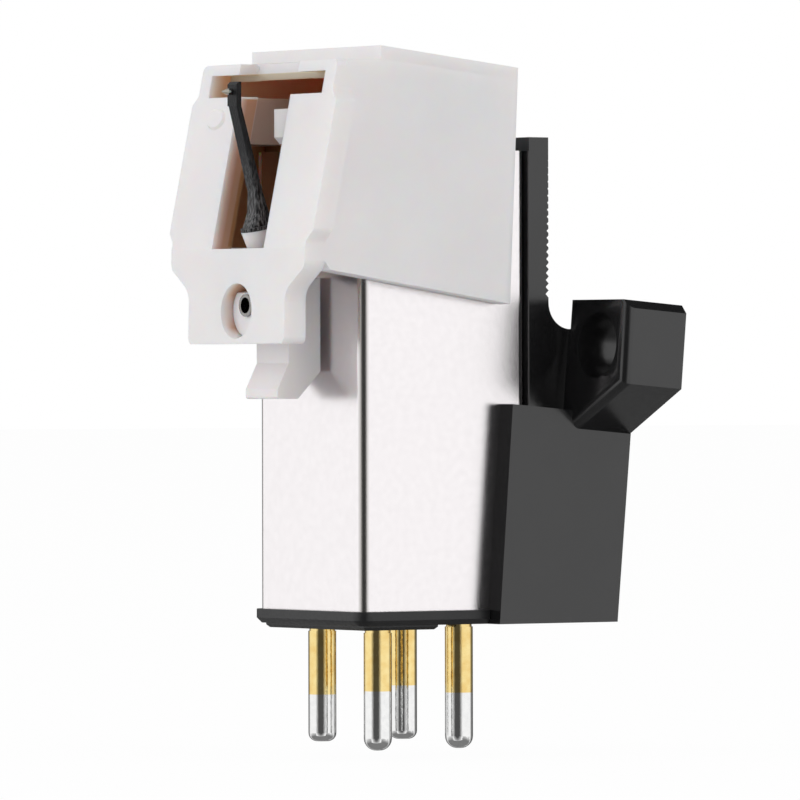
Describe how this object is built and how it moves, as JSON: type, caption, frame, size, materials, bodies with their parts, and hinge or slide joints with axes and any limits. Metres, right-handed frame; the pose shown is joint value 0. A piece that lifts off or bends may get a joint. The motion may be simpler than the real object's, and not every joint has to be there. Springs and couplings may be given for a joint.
{
  "type": "phono cartridge",
  "caption": "Moving magnet phono cartridge: shielded coil body with mounting ears, rear connection pins and a pull-off stylus unit with a sprung cantilever.",
  "frame": {"origin": "middle of the two mounting holes, on the mounting face that lies against the headshell", "axes": "+Z along the shield can from the pins to the nose, as pictured; +X along the line of the mounting holes; +Y towards the headshell, -Y towards the record"},
  "size_m": [0.0168, 0.0182, 0.0298],
  "materials": {
    "black_gloss_plastic": "glossy moulded black",
    "black_board": "matt black moulding",
    "nickel_plate": "bright plated sheet, slightly mottled",
    "gold_plate": "gold plated with tinned ends",
    "core_alloy": "bare laminated alloy",
    "bobbin_plastic": "plain moulded",
    "copper_wire": "enamelled copper",
    "strap_brass": "bare strip",
    "white_plastic": "satin moulded white, slightly translucent",
    "bright_steel": "bright drawn",
    "damper_rubber": "soft rubber",
    "magnet_alloy": "dull plated",
    "carbon_plastic": "charcoal, carbon filled",
    "diamond": "polished point"
  },
  "bodies": {
    "generator": {"mounting_body": "black_gloss_plastic", "terminal_plate": "black_board", "shield_can": "nickel_plate", "pin_left_signal": "gold_plate", "pin_right_signal": "gold_plate", "pin_left_return": "gold_plate", "pin_right_return": "gold_plate", "core_left": "core_alloy", "core_right": "core_alloy", "bobbin_left_front": "bobbin_plastic", "bobbin_left_back": "bobbin_plastic", "bobbin_right_front": "bobbin_plastic", "bobbin_right_back": "bobbin_plastic", "winding_left_front": "copper_wire", "winding_left_back": "copper_wire", "winding_right_front": "copper_wire", "winding_right_back": "copper_wire", "lead_left_front": "copper_wire", "lead_left_back": "copper_wire", "lead_right_front": "copper_wire", "lead_right_back": "copper_wire", "ground_strap": "strap_brass", "core_holder": "black_board"},
    "stylus_unit": {"stylus_shell": "white_plastic", "stylus_carrier": "white_plastic", "wire_clamp": "bright_steel", "suspension_wire": "bright_steel"},
    "damper": {"damper": "damper_rubber"},
    "cantilever": {"cantilever": "carbon_plastic", "magnet_holder": "white_plastic", "magnet_left": "magnet_alloy", "magnet_right": "magnet_alloy", "tip_shank": "bright_steel", "stylus_point": "diamond"}
  },
  "joints": [
    {"name": "stylus_pull", "type": "slide", "parent": "generator", "child": "stylus_unit", "axis": [0, -1, 0], "range_m": [0, 0.0095]},
    {"name": "cantilever_sideways", "type": "hinge", "parent": "stylus_unit", "child": "damper", "pos_m": [0, -0.01574, 0.003], "axis": [0, 0.977, 0.213], "range_deg": [-5, 5], "stiffness_Nm_per_rad": 0.007},
    {"name": "cantilever_upright", "type": "hinge", "parent": "damper", "child": "cantilever", "pos_m": [0, -0.01574, 0.003], "axis": [1, 0, 0], "range_deg": [-5, 3], "stiffness_Nm_per_rad": 0.007}
  ]
}
